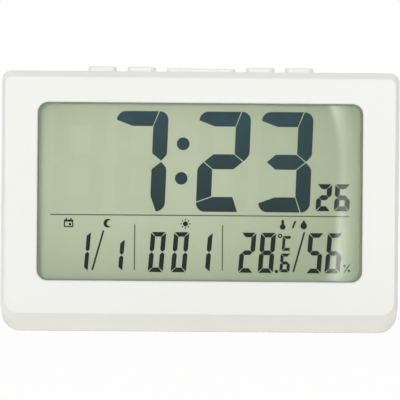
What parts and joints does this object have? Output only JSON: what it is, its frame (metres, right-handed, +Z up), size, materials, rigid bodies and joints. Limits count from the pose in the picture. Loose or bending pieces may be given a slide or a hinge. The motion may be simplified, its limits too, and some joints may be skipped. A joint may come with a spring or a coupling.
{
  "type": "digital day clock",
  "caption": "Free-standing desk or wall clock with a wide LCD for time, date, weekday and room climate, sprung keys along the top, a fold-out stand and a battery door behind.",
  "frame": {"origin": "middle of the width and of the depth, at the flat base the clock stands on", "axes": "+X to the viewer's right, the face looks towards -Y, +Z up"},
  "size_m": [0.198, 0.028, 0.1327],
  "materials": {
    "casing_white": "fine satin moulding",
    "key_white": "smooth satin",
    "lens_clear": "clear polished acrylic",
    "gasket_grey": "closed-cell foam",
    "polariser_grey": "matt film",
    "lcd_glass": "polished",
    "guide_clear": "polished, printed dots",
    "film_white": "matt film",
    "board_green": "solder mask",
    "lamp_yellow": "moulded lens",
    "holder_white": "plain moulding",
    "strip_rubber": "striped elastomer",
    "chip_black": "potting resin",
    "crystal_metal": "drawn can",
    "capacitor_sleeve": "shrink sleeve",
    "buzzer_black": "plain moulding",
    "sensor_white": "plain moulding",
    "switch_black": "plain moulding",
    "plunger_brown": "plain moulding",
    "ribbon_grey": "flat cable",
    "lead_red": "wire insulation",
    "lead_black": "wire insulation",
    "contact_nickel": "nickel plate",
    "cell_jacket": "plain film over the can",
    "screw_steel": "zinc plate"
  },
  "bodies": {
    "clock": {"bezel": "casing_white", "rear_cover": "casing_white", "lens_gasket": "gasket_grey", "display_lens": "lens_clear", "front_polariser": "polariser_grey", "lcd_front_glass": "lcd_glass", "lcd_rear_glass": "lcd_glass", "rear_polariser": "polariser_grey", "light_guide": "guide_clear", "reflector_film": "film_white", "backlight_board": "board_green", "backlight_leds": "lamp_yellow", "lcd_holder": "holder_white", "contact_strip": "strip_rubber", "main_board": "board_green", "controller_chip": "chip_black", "crystal": "crystal_metal", "capacitors": "capacitor_sleeve", "buzzer": "buzzer_black", "climate_sensor": "sensor_white", "key_board": "board_green", "key_switches": "switch_black", "ribbon_cable": "ribbon_grey", "lead_black": "lead_black", "lead_red": "lead_red", "contact_negative": "contact_nickel", "contact_positive": "contact_nickel", "contact_bridge_left": "contact_nickel", "contact_bridge_right": "contact_nickel", "cell_upper": "cell_jacket", "cell_middle": "cell_jacket", "cell_lower": "cell_jacket", "case_screws": "screw_steel", "board_screws": "screw_steel", "key_board_screws": "screw_steel", "holder_screws": "screw_steel"},
    "outer_left_key": {"key_outer_left": "key_white", "plunger_outer_left": "plunger_brown"},
    "inner_left_key": {"key_inner_left": "key_white", "plunger_inner_left": "plunger_brown"},
    "wide_key": {"key_wide": "key_white", "plunger_wide": "plunger_brown"},
    "inner_right_key": {"key_inner_right": "key_white", "plunger_inner_right": "plunger_brown"},
    "outer_right_key": {"key_outer_right": "key_white", "plunger_outer_right": "plunger_brown"},
    "stand": {"stand": "casing_white"},
    "battery_door": {"battery_door": "casing_white"}
  },
  "joints": [
    {"name": "outer_left_key_press", "type": "slide", "parent": "clock", "child": "outer_left_key", "axis": [0, 0, -1], "range_m": [0, 0.0005], "stiffness_N_per_m": 2000, "springref_m": -0.0003},
    {"name": "inner_left_key_press", "type": "slide", "parent": "clock", "child": "inner_left_key", "axis": [0, 0, -1], "range_m": [0, 0.0005], "stiffness_N_per_m": 2000, "springref_m": -0.0003},
    {"name": "wide_key_press", "type": "slide", "parent": "clock", "child": "wide_key", "axis": [0, 0, -1], "range_m": [0, 0.0005], "stiffness_N_per_m": 2000, "springref_m": -0.0003},
    {"name": "inner_right_key_press", "type": "slide", "parent": "clock", "child": "inner_right_key", "axis": [0, 0, -1], "range_m": [0, 0.0005], "stiffness_N_per_m": 2000, "springref_m": -0.0003},
    {"name": "outer_right_key_press", "type": "slide", "parent": "clock", "child": "outer_right_key", "axis": [0, 0, -1], "range_m": [0, 0.0005], "stiffness_N_per_m": 2000, "springref_m": -0.0003},
    {"name": "stand_hinge", "type": "hinge", "parent": "clock", "child": "stand", "pos_m": [0, 0.012, 0.05], "axis": [1, 0, 0], "range_deg": [0, 30]},
    {"name": "door_hinge", "type": "hinge", "parent": "clock", "child": "battery_door", "pos_m": [0, 0.014, 0.0962], "axis": [1, 0, 0], "range_deg": [0, 60]}
  ]
}
